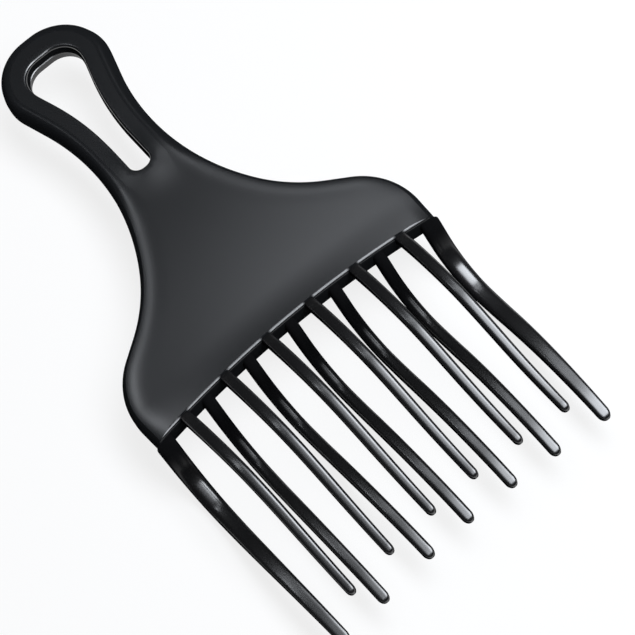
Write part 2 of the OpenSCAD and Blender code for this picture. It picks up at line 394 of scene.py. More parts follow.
class Shell:
    """Collects the points and faces of one closed piece."""

    MERGE_M = 2e-6

    def __init__(self) -> None:
        """Starts with nothing."""
        self.points: list[tuple[float, float, float]] = []
        self.polish: list[float] = []
        self.faces: list[list[int]] = []

    def ring(self, points: np.ndarray, height: float, polish: float | np.ndarray) -> list[int]:
        """Adds level points.

        Args:
            points: Their X and Y.
            height: Their Z.
            polish: Their polish from 0 to 1, one for all or one each.

        Returns:
            Their numbers.
        """
        start = len(self.points)
        self.points += [(float(x), float(y), height) for x, y in points]
        self.polish += np.broadcast_to(polish, len(points)).tolist()
        return list(range(start, len(self.points)))

    def bridge(self, rings: Sequence[list[int]], closed: bool) -> None:
        """Joins each ring to the next one with quads.

        Args:
            rings: The numbers of each ring's points, as many in each.
            closed: Whether the rings' ends join too.
        """
        count = len(rings[0])
        for lower, upper in zip(rings, rings[1:]):
            for i in range(count if closed else count - 1):
                j = (i + 1) % count
                self.faces.append([lower[i], lower[j], upper[j], upper[i]])

    def fill(
        self,
        loops: Sequence[np.ndarray],
        height: float,
        polish: float,
        grid: float = 0.0,
        seam: np.ndarray | None = None,
    ) -> None:
        """Fills a level face.

        Args:
            loops: The face's outer loop and its holes.
            height: The face's Z.
            polish: The face's polish.
            grid: The step of the points that are spread over a face with a seam.
            seam: Points just inside the border that another piece continues.
        """
        corners = [Vector(p) for loop in loops for p in loop]
        edges, start = [], 0
        for loop in loops:
            edges += [(start + i, start + (i + 1) % len(loop)) for i in range(len(loop))]
            start += len(loop)
        if seam is not None:
            # Staggered rows of points, clear of the borders.
            low, high = loops[0].min(axis=0), loops[0].max(axis=0)
            xs = np.arange(low[0], high[0], grid)
            ys = np.arange(low[1], high[1], grid * math.sqrt(3) / 2)
            spread = np.array([(x + grid / 2 * (k % 2), y) for k, y in enumerate(ys) for x in xs])
            border = np.concatenate([*loops, seam])
            far = np.array([np.min(np.linalg.norm(border - p, axis=1)) > grid / 2 for p in spread])
            inner = spread[far & inside(spread, loops)]
            corners += [Vector(p) for p in (*inner, *seam)]
        places, _, triangles, *_ = delaunay_2d_cdt(corners, edges, [], 0, TINY_MM)
        flat = np.array([tuple(p) for p in places])
        middles = np.array([flat[list(t)].mean(axis=0) for t in triangles])
        numbers = self.ring(flat, height, polish)
        for triangle, keep in zip(triangles, inside(middles, loops)):
            if keep:
                self.faces.append([numbers[i] for i in triangle])

    def mesh(self, name: str, shape: Callable[[Vector], Vector], sharp_deg: float) -> bpy.types.Mesh:
        """Writes the mesh.

        Args:
            name: The mesh's name.
            shape: Moves each point, in millimetres.
            sharp_deg: The angle past which an edge is sharp.

        Returns:
            The closed mesh, in metres, with its faces pointing outwards.
        """
        bm = bmesh.new()
        layer = bm.verts.layers.float.new(POLISH)
        verts = [bm.verts.new(shape(Vector(p)) * MM) for p in self.points]
        for vert, polish in zip(verts, self.polish):
            vert[layer] = polish
        for face in self.faces:
            bm.faces.new([verts[i] for i in face])
        bmesh.ops.remove_doubles(bm, verts=bm.verts, dist=self.MERGE_M)
        mesh = bpy.data.meshes.new(name)
        finish_mesh(bm, mesh, sharp_deg)
        return mesh


def place_piece(mesh: bpy.types.Mesh, node: str) -> None:
    """Puts a piece in the scene in place of its CAD node.

    Args:
        mesh: The piece's mesh.
        node: The CAD node that it stands for.
    """
    piece = linked(mesh.name, mesh)
    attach(piece, ROOT_BODY)
    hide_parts(node)
    log.info("%s: %d faces, for %s", piece.name, len(mesh.polygons), node)


@dataclass(frozen=True)
class ToothedEdge:
    """The shallow arc that the teeth grow from.

    Its corners are rounded, and the front one is polished down to a share of its rounding, apart
    from the roots of the front teeth.
    """

    half_width: float = 41.85
    drop: float = 7.8
    rise: float = 3.5
    round_r: float = 0.95
    polished_share: float = 0.45
    root_pitch: float = 13.0
    root_width: float = 2.9
    root_fade: float = 0.25

    @property
    def radius(self) -> float:
        """The arc's radius."""
        return (self.half_width**2 + self.rise**2) / (2 * self.rise)

    @property
    def centre_y(self) -> float:
        """Y of the arc's centre."""
        return self.rise - self.drop - self.radius

    def y(self, x: np.ndarray | float) -> np.ndarray | float:
        """The edge's Y at any X."""
        return self.centre_y + np.sqrt(self.radius**2 - np.square(x))

    def polish(self, x: np.ndarray) -> np.ndarray:
        """Polish of the front corner, which stops where a front tooth grows out of it.

        Args:
            x: Places along the edge.

        Returns:
            The polish at each place.
        """
        # The middle two front teeth stand half a pitch from the centre line.
        from_tooth = np.abs(np.mod(x / self.root_pitch, 1.0) - 0.5) * self.root_pitch
        fade = (-self.root_fade, self.root_fade)
        return np.interp(from_tooth - self.root_width / 2, fade, (0.0, 1.0))


@dataclass
class Moulding:
    """The flat body: the blade, and the handle with its slot.

    Its wall curves in up to a crease, past which the face rolls off. The roll is wide beside the
    blade and narrow beside the slot. The slot's wall has a ridge halfway up, where the mould parted.
    The tables of its roll and its polish go by Y.
    """

    finish: bpy.types.Material
    edge: ToothedEdge
    thickness: float = 5.7
    half_width: float = 42.25
    shoulder_r: float = 18.7
    flank: Corner = Corner(22.55, 23.8, 42.0)
    neck: Corner = Corner(4.75, 54.3, 61.0)
    loop: Corner = Corner(15.25, 90.3, 12.7)
    crown: Corner = Corner(10.3, 103.8, 13.0)
    slot_low: Corner = Corner(2.95, 52.0, 2.7)
    slot_mid: Corner = Corner(2.95, 72.7, 71.0)
    slot_side: Corner = Corner(7.5, 87.8, 9.9)
    slot_top: Corner = Corner(8.4, 95.8, 5.9)
    rim_in: float = 1.3
    roll_widths: Rows = ((40.0, 8.0), (46.0, 6.0), (52.0, 3.0), (60.0, 1.8))
    roll_rise: float = 0.25
    roll_power: float = 3.9
    face_polish: float = 0.46
    arm_polish: Rows = ((42.0, 1.0), (52.0, 0.6), (62.0, 0.35))
    back_round: float = 1.0
    back_polish: float = 1.0
    slot_round: float = 0.6
    slot_lip: float = 0.18
    lower_wall_polish: float = 0.5
    slot_draft: float = 0.15
    parting_ridge: float = 0.2
    parting_height: float = 0.35
    polish_step: float = 0.02
    split_gap: float = 4.0
    side_count: int = 260
    edge_count: int = 170
    slot_count: int = 150
    corner_steps: int = 8
    wall_steps: int = 12
    roll_steps: int = 12
    roll_crowding: float = 1.5
    slot_spacing: float = 0.1
    face_grid: float = 1.2
    seam_step: float = 0.2
    edge_swell: float = 0.33
    edge_swell_width: float = 9.0
    bump_place: tuple[float, float] = (1.0, 53.0)
    bump_rise: float = 0.4
    bump_width: float = 4.5
    sharp_deg: float = 16.0

    def __post_init__(self) -> None:
        """Works out the outlines and where the handle takes over from the blade."""
        self.split_y = self.slot_low.y - self.split_gap
        self.outline = Outline(self.half_outline())
        self.roll = np.interp(self.outline.line[:, 1], *zip(*self.roll_widths))
        self.slot = Outline(self.half_slot(), self.slot_spacing)

    def half_outline(self) -> list[np.ndarray]:
        """Draws the right half of the outline.

        Returns:
            Its points, from below the toothed edge to the handle's far end.
        """
        centre = np.array([self.half_width - self.shoulder_r, 0.0])
        corner = np.array([self.edge.half_width, -self.edge.drop])
        low, high = corner - centre, self.flank.place - centre
        start = math.atan2(low[1], low[0]) + math.acos(self.shoulder_r / np.linalg.norm(low))
        end = math.atan2(high[1], high[0]) - math.acos(self.shoulder_r / np.linalg.norm(high))
        shoulder = arc(centre, self.shoulder_r, start, end - start)
        away = corner - shoulder[0]
        below = corner + away / np.linalg.norm(away) * self.edge.rise
        last, far_end = Corner(*shoulder[-1]), Corner(0.0, self.crown.y)
        path = [last, self.flank, self.neck, self.loop, self.crown, far_end]
        return [below, *shoulder, *rounded(path), far_end.place]

    def half_slot(self) -> list[np.ndarray]:
        """Draws the right half of the slot.

        Returns:
            Its points, from its lower to its upper end.
        """
        start, end = Corner(0.0, self.slot_low.y), Corner(0.0, self.slot_top.y)
        path = [start, self.slot_low, self.slot_mid, self.slot_side, self.slot_top, end]
        return [start.place, *rounded(path), end.place]

    def quarter(self, radius: float) -> list[tuple[float, float]]:
        """A rounded back corner up to the wall, each (distance from the wall, height)."""
        turns = np.radians(np.linspace(0.0, 90.0, self.corner_steps + 1))
        return [(radius * (1 - math.sin(a)), radius * (1 - math.cos(a))) for a in turns]

    def levels(self) -> list[tuple[float | np.ndarray, float, float]]:
        """Draws the side's profile.

        Returns:
            Its rows from back to front, each (distance inside the outline, height, polish).
        """
        # The wall is an arc that stands upright halfway up and ends at the crease.
        half = self.thickness / 2
        rim_z = self.thickness - self.roll_rise
        lean = 2 * math.atan(self.rim_in / (rim_z - half))
        wall_r = (rim_z - half) / math.sin(lean)
        round_turn = math.asin((half - self.edge.round_r) / wall_r)
        turns = sorted([*np.linspace(0.0, lean, self.wall_steps + 1), round_turn])
        first, *rounding, last = self.quarter(self.back_round)
        back = [(*first, 0.0), *((*row, self.back_polish) for row in rounding), (*last, 0.0)]
        wall = [(wall_r * (1 - math.cos(a)), half + wall_r * math.sin(a), 0.0) for a in turns]
        roll = [
            (
                self.rim_in + self.roll * u,
                self.thickness - self.roll_rise * (1 - u) ** self.roll_power,
                self.face_polish,
            )
            for u in np.linspace(0.0, 1.0, self.roll_steps + 1)[1:] ** self.roll_crowding
        ]
        return [*back, *wall, *roll]

    def side_polish(self, loop: np.ndarray, height: float, polish: float) -> np.ndarray:
        """Fades the upper wall's polish beside the slot. The face and the back's edge keep theirs.

        Args:
            loop: The ring's points.
            height: The ring's Z.
            polish: The polish that the profile gives it.

        Returns:
            The polish of each point.
        """
        if height == self.thickness or height < self.thickness / 2:
            return np.full(len(loop), polish)
        return polish * np.interp(loop[:, 1], *zip(*self.arm_polish))

    def split_points(self, end: np.ndarray) -> np.ndarray:
        """Draws the line across the face where the handle takes over.

        Args:
            end: The line's right end.

        Returns:
            The points between its ends, from right to left.
        """
        count = math.ceil(2 * end[0] / self.face_grid)
        across = np.linspace(end[0], -end[0], count + 1)[1:-1]
        return np.stack([across, np.full(len(across), self.split_y)], axis=1)

    def rounding(self, height: float) -> float:
        """How far the toothed edge's rounded corners cut it back at a height."""
        near_face = max(0.0, self.edge.round_r - min(height, self.thickness - height))
        return self.edge.round_r - math.sqrt(self.edge.round_r**2 - near_face**2)

    def shaped(self, point: Vector) -> Vector:
        """Raises the front face along the toothed edge and at the slot's lower end.

        Args:
            point: A point of the plain body.

        Returns:
            Its place on the raised body.
        """
        lift = min(1.0, max(0.0, 2 * point.z / self.thickness - 1))
        away = max(0.0, point.y - float(self.edge.y(point.x)))
        swell = self.edge_swell * max(0.0, 1 - away / self.edge_swell_width) ** 2
        from_bump = (Vector(self.bump_place) - point.xy).length_squared / self.bump_width**2
        bump = self.bump_rise * math.exp(-from_bump / 2)
        return Vector((point.x, point.y, point.z + (swell + bump) * lift))

    def dress(self, shell: Shell, name: str, node: str) -> None:
        """Writes a part of the body and gives it its finish.

        Args:
            shell: The part's points and faces.
            name: Its name.
            node: The CAD node that it stands for.
        """
        mesh = shell.mesh(name, self.shaped, self.sharp_deg)
        mesh.materials.append(self.finish)
        place_piece(mesh, node)

    def blade(self) -> None:
        """Builds the blade, closed where the handle takes over."""
        shell, rings, loops = Shell(), [], []
        polished_z = self.thickness - self.edge.polished_share * self.edge.round_r
        for inset, height, polish in self.levels():
            cut = self.rounding(height)
            start = self.outline.crossing(inset, lambda x: self.edge.y(x) + cut)
            end = self.outline.crossing(inset, lambda x: self.split_y)
            side = self.outline.stations(inset, start, end, self.side_count)
            across = np.linspace(-side[0][0], side[0][0], self.edge_count)[1:-1]
            foot = np.stack([across, self.edge.y(across) + cut], axis=1)
            loops.append(np.concatenate([side, mirrored(side), foot]))
            polishes = self.side_polish(loops[-1], height, polish)
            # The points after the two sides are the toothed edge.
            if height < self.thickness / 2:
                polishes[2 * self.side_count :] = 0.0
            elif polished_z < height < self.thickness:
                polishes[2 * self.side_count :] = self.edge.polish(across)
            rings.append(shell.ring(loops[-1], height, polishes))
        end = self.side_count
        shell.bridge([ring[end:] + ring[:end] for ring in rings], closed=False)
        split = self.split_points(loops[-1][end - 1])
        face = np.insert(loops[-1], end, split, axis=0)
        seam = split - np.array([0.0, self.seam_step])
        shell.fill([loops[0]], 0.0, polish=0.0)
        shell.fill([face], self.thickness, self.face_polish, self.face_grid, seam)
        cap = shell.ring(split, self.thickness, self.face_polish)
        shell.faces.append([r[end - 1] for r in rings] + cap + [r[end] for r in reversed(rings)])
        self.dress(shell, "moulded_blade", "blade")

    def slot_levels(self) -> list[tuple[float, float, float]]:
        """Draws the slot's profile.

        Returns:
            Its rows from back to front, each (distance inside the slot, height, polish).
        """
        half, foot, radius = self.thickness / 2, self.parting_height / 2, self.slot_round
        ridge = self.slot_draft + self.parting_ridge
        corner = self.quarter(radius)[1:]
        back = [(-away, height, self.lower_wall_polish) for away, height in corner]
        front = [(-away, self.thickness - height, 1.0) for away, height in reversed(corner)]
        return [
            (-radius, 0.0, 0.0),
            *back,
            (self.slot_draft, half - foot, self.lower_wall_polish),
            (ridge, half - foot / 2, 1.0),
            (ridge, half + foot / 2, 1.0),
            (self.slot_draft, half + foot, 1.0),
            (self.slot_draft, half + foot + self.polish_step, 0.0),
            (0.0, self.thickness - radius - self.slot_lip, 0.0),
            *front,
            (-radius, self.thickness, self.face_polish),
        ]

    def handle(self) -> None:
        """Builds the looped handle, closed where the blade takes over."""
        shell, rings, loops = Shell(), [], []
        for inset, height, polish in self.levels():
            start = self.outline.crossing(inset, lambda x: self.split_y)
            side = self.outline.stations(inset, start, self.outline.run[-1], self.side_count)
            # The far end lies on the centre line and isn't mirrored.
            side[-1][0] = 0.0
            loops.append(np.concatenate([side, mirrored(side)[1:]]))
            polishes = self.side_polish(loops[-1], height, polish)
            rings.append(shell.ring(loops[-1], height, polishes))
        shell.bridge(rings, closed=False)
        holes, slot_rings = [], []
        for inset, height, polish in self.slot_levels():
            side = self.slot.stations(inset, 0.0, self.slot.run[-1], self.slot_count)
            side[[0, -1], 0] = 0.0
            holes.append(np.concatenate([side, mirrored(side)[1:-1]]))
            slot_rings.append(shell.ring(holes[-1], height, polish))
        shell.bridge(slot_rings, closed=True)
        split = self.split_points(loops[-1][0])
        face = [np.concatenate([loops[-1], split[::-1]]), holes[-1]]
        seam = split + np.array([0.0, self.seam_step])
        shell.fill([loops[0], holes[0]], 0.0, polish=0.0)
        shell.fill(face, self.thickness, self.face_polish, self.face_grid, seam)
        cap = shell.ring(split, self.thickness, self.face_polish)
        shell.faces.append([r[0] for r in rings] + cap + [r[-1] for r in reversed(rings)])
        self.dress(shell, "slotted_handle", "handle_loop")


@dataclass(frozen=True)
class ToothForm:
    """Sizes of one tooth: widths and depths at its root, halfway down and at its tip.

    Its roundness is given at the root and at the tip, from 0 for square to 1 for oval. The matt
    root is given as two shares of the length, where it ends and where the full polish starts.
    """

    widths: tuple[float, float, float]
    depths: tuple[float, float, float]
    roundness: tuple[float, float] = (0.56, 0.56)
    tip_share: float = 0.7
    matt_root: tuple[float, float] = (0.0, 0.05)
    twist_deg: float = 0.0


class ToothTree:
    """The node tree that sweeps a rounded bar along a tooth's centre line."""

    SIZES = ("Root Width", "Middle Width", "Tip Width", "Root Depth", "Middle Depth", "Tip Depth")
    ENDS = ("Root Roundness", "Tip Roundness", "Matt End", "Polish Start")
    SIDES = 96
    MERGE_M = 1e-6
    SHARP_DEG = 35.0
    EDGE_SIDES = 1440
    EDGE_DEPTH_M = 0.2
    FLATTENING_SHARES = (0.25, 0.6)
    FACING_LEVELS = (0.5, 0.8)

    def __init__(self) -> None:
        """Builds the tree."""
        self.group = bpy.data.node_groups.new("bowed_tooth", "GeometryNodeTree")
        floats = (*self.SIZES, *self.ENDS, "Twist", "Tip Share", "Edge Radius")
        kinds = {
            "Geometry": "Geometry",
            **dict.fromkeys(floats, "Float"),
            "Edge Centre": "Vector",
            "Stops At Edge": "Bool",
            "Finish": "Material",
        }
        face = self.group.interface
        for name, kind in kinds.items():
            face.new_socket(name, in_out="INPUT", socket_type=f"NodeSocket{kind}")
        face.new_socket("Geometry", in_out="OUTPUT", socket_type="NodeSocketGeometry")
        self.tree = Tree(self.group)
        self.inputs = self.tree.node("NodeGroupInput")
        self.build()

    def given(self, name: str) -> Value:
        """One of the tree's own inputs."""
        return Value(self.tree, self.inputs.outputs[name])

    def named(self, name: str, kind: str = "FLOAT") -> Value:
        """Reads a stored attribute."""
        return self.tree.out("GeometryNodeInputNamedAttribute", {"Name": name}, data_type=kind)

    def stored(self, geometry: Value, name: str, content: Value) -> Value:
        """Stores a number or a vector on a geometry's points.

        Args:
            geometry: The geometry.
            name: The attribute's name.
            content: What it holds.

        Returns:
            The geometry with the attribute.
        """
        kind = "FLOAT_VECTOR" if content.socket.type == "VECTOR" else "FLOAT"
        sockets = {"Geometry": geometry, "Name": name, "Value": content}
        return self.tree.out("GeometryNodeStoreNamedAttribute", sockets, data_type=kind, domain="POINT")

    def then(self, kind: str, geometry: Value, **sockets: object) -> Value:
        """Passes a geometry through one more node."""
        return self.tree.out(f"GeometryNode{kind}", {"Geometry": geometry, **sockets})

    def through(self, root: Value, middle: Value, tip: Value, share: Value) -> Value:
        """Draws a smooth curve through three sizes.

        Args:
            root: The size at the root.
            middle: The size halfway down.
            tip: The size at the tip.
            share: Where to read the curve.

        Returns:
            The size there.
        """
        from_end = 1.0 - share
        past_middle = share * 2.0 - 1.0
        return (
            middle * 4.0 * share * from_end
            - root * from_end * past_middle
            + tip * share * past_middle
        )

    def build(self) -> None:
        """Adds the tree's nodes."""
        tree = self.tree
        share = self.named("share")
        tip_run = (share - 1.0 + self.given("Tip Share")) / self.given("Tip Share")
        fullness = tree.math("SQRT", 1.0 - tip_run.math("MAXIMUM", 0.0) ** 2.0)
        sizes = [self.given(name) for name in self.SIZES]
        tangent = tree.out("GeometryNodeInputTangent")
        lean = tree.out("ShaderNodeSeparateXYZ", {0: tangent}, "X")
        upright = tree.vector("SUBTRACT", (1.0, 0.0, 0.0), tree.scaled(tangent, lean))
        level = tree.vector("NORMALIZE", upright)
        twist = self.given("Twist")
        across = tree.vector(
            "ADD",
            tree.scaled(level, twist.math("COSINE")),
            tree.scaled(tree.vector("CROSS_PRODUCT", tangent, level), twist.math("SINE")),
        )
        carried = {
            "tooth_width": self.through(*sizes[:3], share) * fullness,
            "tooth_depth": self.through(*sizes[3:], share) * fullness,
            "tooth_across": across,
            "tooth_deep": tree.vector("CROSS_PRODUCT", tangent, across),
            "tooth_centre": tree.out("GeometryNodeInputPosition"),
        }
        line = tree.out("GeometryNodeMeshToCurve", {"Mesh": self.given("Geometry")})
        for name, content in carried.items():
            line = self.stored(line, name, content)
        circle = tree.out("GeometryNodeCurvePrimitiveCircle", {"Resolution": self.SIDES}, "Curve")
        turn = (tree.out("GeometryNodeInputIndex") + 0.5) * (math.tau / self.SIDES)
        sweep = {
            "Curve": line,
            "Profile Curve": self.stored(circle, "tooth_turn", turn),
            "Fill Caps": True,
        }
        bar = self.stored(tree.out("GeometryNodeCurveToMesh", sweep), POLISH, self.gloss())
        bar = self.then("SetPosition", bar, Position=self.section())
        bar = self.then("MergeByDistance", bar, Distance=self.MERGE_M)
        for name in ("share", "tooth_turn", *carried):
            bar = self.then("RemoveAttribute", bar, Name=name)
        ways = {"Switch": self.given("Stops At Edge"), "False": bar, "True": self.stopped(bar)}
        bar = tree.out("GeometryNodeSwitch", ways, input_type="GEOMETRY")
        bar = self.then("RealizeInstances", bar)
        bar = self.then("SetMaterial", bar, Material=self.given("Finish"))
        tree.node("NodeGroupOutput", {"Geometry": bar})

    def section(self) -> Value:
        """Lays the bar's points on a rounded rectangle about the centre line.

        Returns:
            The place of each point.
        """
        tree, turn = self.tree, self.named("tooth_turn")
        place = self.named("tooth_centre", "FLOAT_VECTOR")
        down = tree.step(self.named("share"), *self.FLATTENING_SHARES)
        root, tip = (self.given(name) for name in self.ENDS[:2])
        roundness = root + (tip - root) * down
        for size, wave, axis in (("width", "COSINE", "across"), ("depth", "SINE", "deep")):
            swing = turn.math(wave)
            reach = swing.math("ABSOLUTE").math("POWER", roundness)
            offset = self.named(f"tooth_{size}") * swing.math("SIGN") * reach / 2.0
            direction = self.named(f"tooth_{axis}", "FLOAT_VECTOR")
            place = tree.vector("ADD", place, tree.scaled(direction, offset))
        return place

    def gloss(self) -> Value:
        """Polishes the bar's front and back, less its sides, and not a matt root.

        Returns:
            The polish of each point.
        """
        facing = self.named("tooth_turn").math("SINE").math("ABSOLUTE")
        ends = (self.given(name) for name in self.ENDS[2:])
        return self.tree.step(facing, *self.FACING_LEVELS) * self.tree.step(self.named("share"), *ends)

    def stopped(self, bar: Value) -> Value:
        """Cuts a bar off along the toothed edge.

        Args:
            bar: The whole bar.

        Returns:
            The part of it below the edge.
        """
        sizes = {
            "Vertices": self.EDGE_SIDES,
            "Radius": self.given("Edge Radius"),
            "Depth": self.EDGE_DEPTH_M,
        }
        drum = self.tree.out("GeometryNodeMeshCylinder", sizes, "Mesh", fill_type="NGON")
        drum = self.then("Transform", drum, Translation=self.given("Edge Centre"))
        cut = self.tree.node("GeometryNodeMeshBoolean", operation="INTERSECT", solver="MANIFOLD")
        for part in (bar, drum):
            self.group.links.new(part.socket, cut.inputs["Mesh 2"])
        return Value(self.tree, cut.outputs["Mesh"])

    def sweep(
        self, name: str, line: np.ndarray, shares: np.ndarray, settings: dict[str, object]
    ) -> bpy.types.Mesh:
        """Runs the tree on one centre line.

        Args:
            name: The tooth's name.
            line: Its centre line, in metres.
            shares: Each point's share of the tooth's length.
            settings: The tree's inputs by name.

        Returns:
            The tooth's plain mesh.
        """
        path = bpy.data.meshes.new(name)
        path.from_pydata(line.tolist(), [(i, i + 1) for i in range(len(line) - 1)], [])
        path.attributes.new("share", "FLOAT", "POINT").data.foreach_set("value", shares)
        holder = linked(f"{name}_line", path)
        modifier = holder.modifiers.new("tooth", "NODES")
        modifier.node_group = self.group
        for item in self.group.interface.items_tree:
            if item.in_out == "INPUT" and item.name in settings:
                modifier[item.identifier] = settings[item.name]
        graph = bpy.context.evaluated_depsgraph_get()
        mesh = bpy.data.meshes.new_from_object(holder.evaluated_get(graph))
        bpy.data.objects.remove(holder)
        bpy.data.meshes.remove(path)
        mesh.name = name
        bm = bmesh.new()
        bm.from_mesh(mesh)
        finish_mesh(bm, mesh, self.SHARP_DEG)
        return mesh


@dataclass
class ToothRow:
    """One row of teeth: its pitch at the roots, halfway down and at the tips, and its bow.

    A tooth's centre line starts inside the toothed edge, and a table of shares of its length says
    how it bows. The first and the last tooth can be broader outer teeth, with a form and a length
    of their own, which draw in towards the others.
    """

    name: str
    edge: ToothedEdge
    tree: ToothTree
    finish: bpy.types.Material
    count: int
    pitches: tuple[float, float, float]
    length: float
    root_in: float
    root_z: float
    bow: float
    bow_shares: Rows
    form: ToothForm
    lean: float
    lean_shares: tuple[float, ...]
    stops_at_edge: bool = False
    edge_overlap: float = 0.2
    rings: int = 130
    tip_rings: int = 10
    outer_form: ToothForm | None = None
    outer_length: float = 0.0
    outer_proud: float = 0.0
    outer_draw: float = 0.0
    outer_draw_shares: Rows = ((0.0, 0.0), (0.5, 0.2), (1.0, 1.0))

    def is_outer(self, i: int) -> bool:
        """Whether tooth i is one of the row's broader outer teeth."""
        return self.outer_form is not None and i in (1, self.count)

    def x(self, i: int, share: float) -> float:
        """Works out how far sideways a tooth lies.

        Args:
            i: The tooth's number, from 1 at the left.
            share: The share of its length.

        Returns:
            Its X there.
        """
        lean = self.lean * self.lean_shares[i - 1] * share
        if self.is_outer(i):
            side = -1 if i == 1 else 1
            root = self.edge.half_width + self.outer_proud - self.outer_form.widths[0] / 2
            return side * (root - self.outer_draw * smooth(self.outer_draw_shares, share)) + lean
        pitch = smooth(list(zip((0.0, 0.5, 1.0), self.pitches)), share)
        return (i - (self.count + 1) / 2) * pitch + lean

    def tooth(self, i: int) -> None:
        """Builds one tooth in place of its CAD node.

        Args:
            i: The tooth's number, from 1 at the left.
        """
        form = self.outer_form if self.is_outer(i) else self.form
        run = (self.outer_length if self.is_outer(i) else self.length) + self.root_in
        tip = form.tip_share * form.widths[2] / run
        turns = np.radians(np.linspace(0.0, 90.0, self.tip_rings + 1))[1:]
        shares = np.concatenate(
            [np.linspace(0.0, 1.0 - tip, self.rings), 1.0 - tip + tip * np.sin(turns)]
        )
        start = float(self.edge.y(self.x(i, 0.0))) + self.root_in
        line = np.array(
            [
                (self.x(i, v), start - run * v, self.root_z + self.bow * smooth(self.bow_shares, v))
                for v in shares
            ]
        )
        settings = {
            **dict(zip(ToothTree.SIZES, (size * MM for size in (*form.widths, *form.depths)))),
            **dict(zip(ToothTree.ENDS, (*form.roundness, *form.matt_root))),
            "Twist": math.radians(form.twist_deg),
            "Tip Share": tip,
            "Edge Radius": (self.edge.radius + self.edge_overlap) * MM,
            "Edge Centre": (0.0, self.edge.centre_y * MM, 0.0),
            "Stops At Edge": self.stops_at_edge,
            "Finish": self.finish,
        }
        node = f"{self.name}_tooth_{i}"
        mesh = self.tree.sweep(f"bowed_{node}", line * MM, shares, settings)
        place_piece(mesh, node)

    def build(self) -> None:
        """Builds the row from left to right."""
        for i in range(1, self.count + 1):
            self.tooth(i)


@dataclass(frozen=True)
class BlackPlastic:
    """A moulded black plastic: its tone, its gloss and the fine texture of its mould.

    The gloss is a thin polished skin over the plain plastic. It lies where the mould was polished,
    as the mesh's own attribute says.
    """

    name: str
    tone: Colour
    tone_spread: float
    roughness: float
    roughness_spread: float
    skin_roughness: float
    grain: float
    grain_height: float
    flow: tuple[float, float, float]
    base_gloss: float = 0.0
    skin_ior: float = 1.9
    flow_detail: float = 3.0
    grain_detail: float = 2.0

    def material(self) -> bpy.types.Material:
        """Builds the material.

        Returns:
            The material.
        """
        made = bpy.data.materials.new(self.name)
        tree = shader_tree(made)
        place = tree.out("ShaderNodeTexCoord", output="Object")
        drawn = tree.vector("DIVIDE", place, tuple(size * MM for size in self.flow))
        noise = {"Vector": drawn, "Scale": 1.0, "Detail": self.flow_detail}
        flow = tree.out("ShaderNodeTexNoise", noise)
        fine = tree.vector("DIVIDE", place, (self.grain * MM,) * 3)
        noise = {"Vector": fine, "Scale": 1.0, "Detail": self.grain_detail}
        relief = {
            "Strength": 1.0,
            "Distance": self.grain_height * MM,
            "Height": tree.out("ShaderNodeTexNoise", noise),
        }
        bump = tree.out("ShaderNodeBump", relief)
        dark, light = 1 - self.tone_spread, 1 + self.tone_spread
        tones = {
            "Factor": flow,
            MIX_DARK: (*(c * dark for c in self.tone), 1.0),
            MIX_LIGHT: (*(c * light for c in self.tone), 1.0),
        }
        tone = tree.out("ShaderNodeMix", tones, MIX_OUT, data_type="RGBA")
        roughness = self.roughness + (flow - 0.5) * (2 * self.roughness_spread)
        skin = tree.out("ShaderNodeAttribute", output="Fac", attribute_name=POLISH)
        skinned = {
            "Base Color": tone,
            "Roughness": roughness,
            "Specular IOR Level": self.base_gloss,
            "Coat Weight": skin,
            "Coat Roughness": self.skin_roughness,
            "Coat IOR": self.skin_ior,
            "Normal": bump,
        }
        surface = tree.out("ShaderNodeBsdfPrincipled", skinned)
        tree.node("ShaderNodeOutputMaterial", {"Surface": surface})
        return made


@dataclass(frozen=True)
class StudioFloor:
    """The pale floor that the pick lies on."""

    height: float = -12.0
    half_width: float = 4000.0
    colour: Colour = (0.9, 0.9, 0.9)
    glow_share: float = 0.82

    def build(self) -> None:
        """Builds the floor, near white to the camera and in reflections, with the pick's shadow."""
        mesh = bpy.data.meshes.new("floor")
        w, z = self.half_width * MM, self.height * MM
        mesh.from_pydata([(-w, -w, z), (w, -w, z), (w, w, z), (-w, w, z)], [], [(0, 1, 2, 3)])
        floor = linked("floor", mesh)
        made = bpy.data.materials.new("pale_floor")
        tree = shader_tree(made)
        path = tree.node("ShaderNodeLightPath")
        kinds = ("Camera", "Glossy", "Transmission")
        rays = [Value(tree, path.outputs[f"Is {kind} Ray"]) for kind in kinds]
        seen = tree.math("MAXIMUM", tree.math("MAXIMUM", rays[0], rays[1]), rays[2])
        paint = tree.out("ShaderNodeBsdfDiffuse", {"Color": (*self.colour, 1.0)})
        glow = tree.out("ShaderNodeEmission", {"Color": WHITE, "Strength": 1.0})
        mixed = tree.out("ShaderNodeMixShader", {0: seen * self.glow_share, 1: paint, 2: glow})
        tree.node("ShaderNodeOutputMaterial", {"Surface": mixed})
        mesh.materials.append(made)


